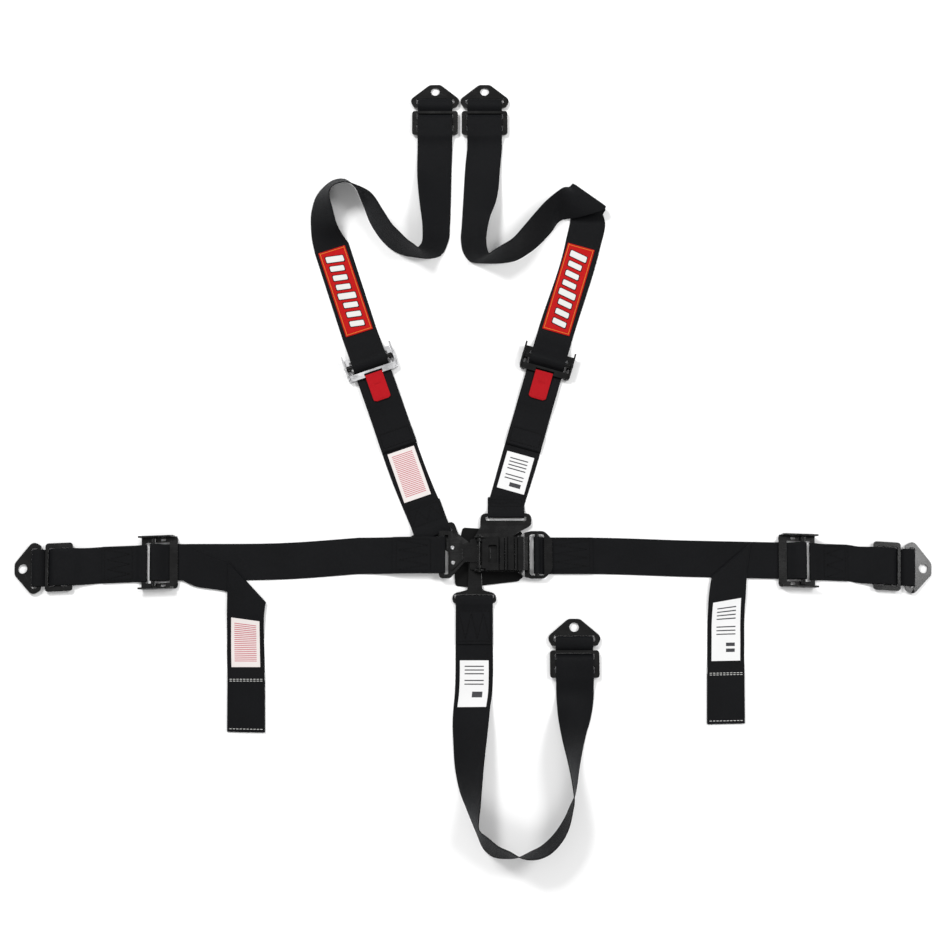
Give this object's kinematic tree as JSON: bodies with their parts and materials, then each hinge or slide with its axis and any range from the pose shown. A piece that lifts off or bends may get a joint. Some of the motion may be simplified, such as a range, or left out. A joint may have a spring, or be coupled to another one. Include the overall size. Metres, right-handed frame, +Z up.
{
  "type": "racing harness",
  "caption": "Five-point racing harness laid out flat: black shoulder, lap and sub straps with anchor plates, slides and adjusters, meeting at a lever latch.",
  "frame": {"origin": "on the floor, at the middle of the harness's footprint", "axes": "+X along the lap straps to the right, +Y towards the shoulder anchors, +Z up from the floor"},
  "size_m": [1.2597, 1.1062, 0.052],
  "materials": {
    "webbing": "woven black polyester webbing with a slight sheen",
    "black_steel": "glossy black coating on stamped steel",
    "bright_steel": "bright zinc-plated steel",
    "red_tab": "red folded pull tab",
    "red_patch": "red embroidered patch",
    "label_cloth": "white woven label",
    "pad_cloth": "black felt-backed pad"
  },
  "bodies": {
    "harness": {"shoulder_web_left": "webbing", "shoulder_web_right": "webbing", "lower_web_left": "webbing", "lower_web_right": "webbing", "lap_web_left": "webbing", "lap_web_right": "webbing", "lap_anchor_web_left": "webbing", "lap_anchor_web_right": "webbing", "sub_web": "webbing", "adjuster_frame_shoulder_left": "black_steel", "adjuster_frame_shoulder_right": "black_steel", "adjuster_frame_lap_left": "black_steel", "adjuster_frame_lap_right": "black_steel", "shoulder_fitting_left": "black_steel", "shoulder_fitting_right": "black_steel", "sub_fitting": "black_steel", "latch_body": "black_steel", "link_plate": "black_steel", "link_stiffener": "black_steel", "link_rivet_upper": "bright_steel", "link_rivet_lower": "bright_steel", "latch_hinge_pin": "bright_steel", "latch_spring": "bright_steel", "latch_pad": "pad_cloth", "patch_left": "red_patch", "patch_right": "red_patch", "label_shoulder_left": "label_cloth", "label_shoulder_right": "label_cloth", "label_lap_left": "label_cloth", "label_lap_right": "label_cloth", "label_sub": "label_cloth", "slide_shoulder_left": "black_steel", "slide_shoulder_right": "black_steel", "slide_lap_left": "black_steel", "slide_lap_right": "black_steel", "slide_sub": "black_steel"},
    "anchor_plate_shoulder_left": {"anchor_plate_shoulder_left": "black_steel"},
    "anchor_plate_shoulder_right": {"anchor_plate_shoulder_right": "black_steel"},
    "anchor_plate_lap_left": {"anchor_plate_lap_left": "black_steel"},
    "anchor_plate_lap_right": {"anchor_plate_lap_right": "black_steel"},
    "anchor_plate_sub": {"anchor_plate_sub": "black_steel"},
    "adjuster_bar_shoulder_left": {"adjuster_bar_shoulder_left": "black_steel"},
    "adjuster_bar_shoulder_right": {"adjuster_bar_shoulder_right": "black_steel"},
    "adjuster_bar_lap_left": {"adjuster_bar_lap_left": "black_steel"},
    "adjuster_bar_lap_right": {"adjuster_bar_lap_right": "black_steel"},
    "release_tab_left": {"release_tab_left": "red_tab"},
    "release_tab_right": {"release_tab_right": "red_tab"},
    "latch_lever": {"latch_lever": "black_steel"}
  },
  "joints": [
    {"name": "anchor_plate_shoulder_left_hinge", "type": "hinge", "parent": "harness", "child": "anchor_plate_shoulder_left", "pos_m": [-0.0555, 0.519, 0.0046], "axis": [1, 0, 0], "range_deg": [0, 105]},
    {"name": "anchor_plate_shoulder_right_hinge", "type": "hinge", "parent": "harness", "child": "anchor_plate_shoulder_right", "pos_m": [0.017, 0.519, 0.0046], "axis": [1, 0, 0], "range_deg": [0, 105]},
    {"name": "anchor_plate_lap_left_hinge", "type": "hinge", "parent": "harness", "child": "anchor_plate_lap_left", "pos_m": [-0.595, -0.165, 0.0046], "axis": [-0.0436, 0.999, 0], "range_deg": [0, 105]},
    {"name": "anchor_plate_lap_right_hinge", "type": "hinge", "parent": "harness", "child": "anchor_plate_lap_right", "pos_m": [0.5954, -0.164, 0.0046], "axis": [-0.0611, -0.9981, 0], "range_deg": [0, 105]},
    {"name": "anchor_plate_sub_hinge", "type": "hinge", "parent": "harness", "child": "anchor_plate_sub", "pos_m": [0.138, -0.269, 0.0046], "axis": [1, 0, 0], "range_deg": [0, 105]},
    {"name": "adjuster_bar_shoulder_left_slide", "type": "slide", "parent": "harness", "child": "adjuster_bar_shoulder_left", "axis": [0.3338, -0.9426, 0], "range_m": [0, 0.0012]},
    {"name": "adjuster_bar_shoulder_right_slide", "type": "slide", "parent": "harness", "child": "adjuster_bar_shoulder_right", "axis": [-0.2756, -0.9613, 0], "range_m": [0, 0.0012]},
    {"name": "adjuster_bar_lap_left_slide", "type": "slide", "parent": "harness", "child": "adjuster_bar_lap_left", "axis": [0.9993, 0.0384, 0], "range_m": [0, 0.0012]},
    {"name": "adjuster_bar_lap_right_slide", "type": "slide", "parent": "harness", "child": "adjuster_bar_lap_right", "axis": [-0.9994, 0.0349, 0], "range_m": [0, 0.0012]},
    {"name": "release_tab_left_hinge", "type": "hinge", "parent": "harness", "child": "release_tab_left", "pos_m": [-0.13939, 0.11016, 0.0078], "axis": [-0.9426, -0.3338, 0], "range_deg": [0, 80]},
    {"name": "release_tab_right_hinge", "type": "hinge", "parent": "harness", "child": "release_tab_right", "pos_m": [0.10037, 0.11185, 0.0078], "axis": [-0.9613, 0.2756, 0], "range_deg": [0, 80]},
    {"name": "latch_lever_hinge", "type": "hinge", "parent": "harness", "child": "latch_lever", "pos_m": [0.009, -0.147, 0.0182], "axis": [0, -1, 0], "range_deg": [0, 110], "stiffness_Nm_per_rad": 0.02}
  ]
}
